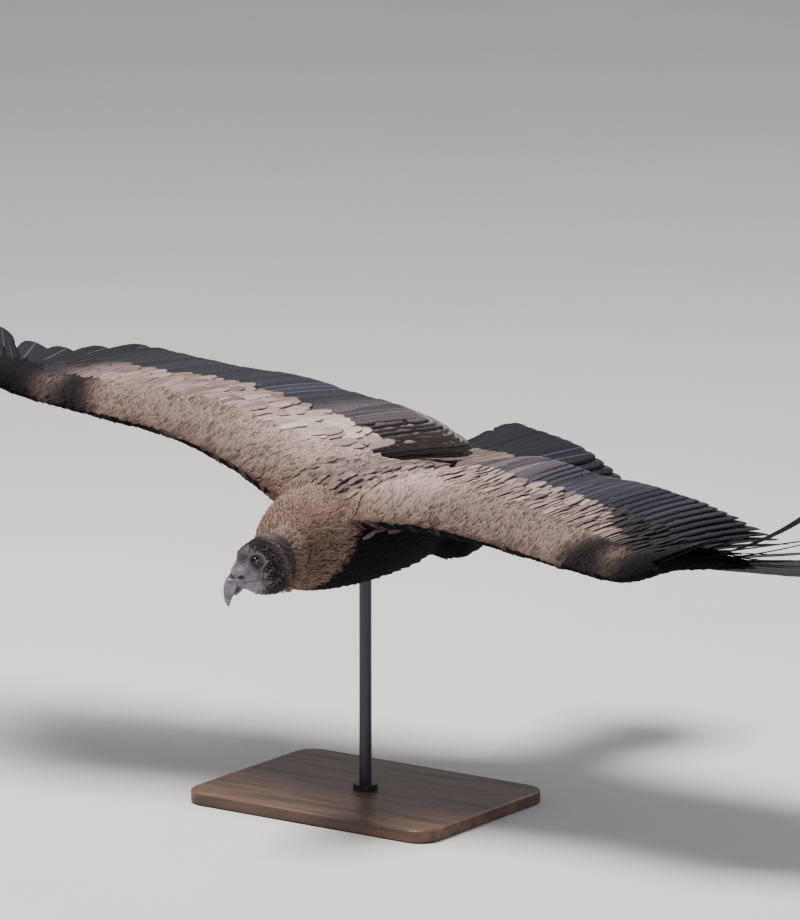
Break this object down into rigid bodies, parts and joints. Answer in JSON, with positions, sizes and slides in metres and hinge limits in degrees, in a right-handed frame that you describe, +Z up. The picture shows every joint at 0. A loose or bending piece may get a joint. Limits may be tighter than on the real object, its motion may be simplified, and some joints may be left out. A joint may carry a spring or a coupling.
{
  "type": "andean condor display model",
  "caption": "Life-size juvenile Andean condor gliding with wings spread, slotted wing tips curled up and head lowered, held on a flat base by an upright rod.",
  "frame": {"origin": "centre of the underside of the stand's base, on the floor", "axes": "+X from the bird's right wing tip to its left one, -Y the way it flies, +Z up"},
  "size_m": [2.4312, 1.0586, 1.1735],
  "materials": {
    "plumage": "matt brown feathers",
    "ruff": "matt buff feathers",
    "tail_feather": "blue-black feathers",
    "bare_skin": "dull slate-grey skin",
    "horn": "polished dark horn",
    "eye": "wet dark eye",
    "stand_wood": "dark stained wood",
    "stand_metal": "satin black"
  },
  "bodies": {
    "root": {"torso": "plumage", "neck": "ruff", "head": "bare_skin", "bill_upper": "horn", "bill_lower": "horn", "eye_left": "eye", "wing_left": "plumage", "eye_right": "eye", "wing_right": "plumage", "tail": "tail_feather", "thigh_left": "plumage", "shank_left": "bare_skin", "foot_left": "bare_skin", "claw_left_1": "horn", "claw_left_2": "horn", "claw_left_3": "horn", "claw_left_4": "horn", "thigh_right": "plumage", "shank_right": "bare_skin", "foot_right": "bare_skin", "claw_right_1": "horn", "claw_right_2": "horn", "claw_right_3": "horn", "claw_right_4": "horn", "stand_base": "stand_wood", "stand_rod": "stand_metal"}
  },
  "joints": []
}
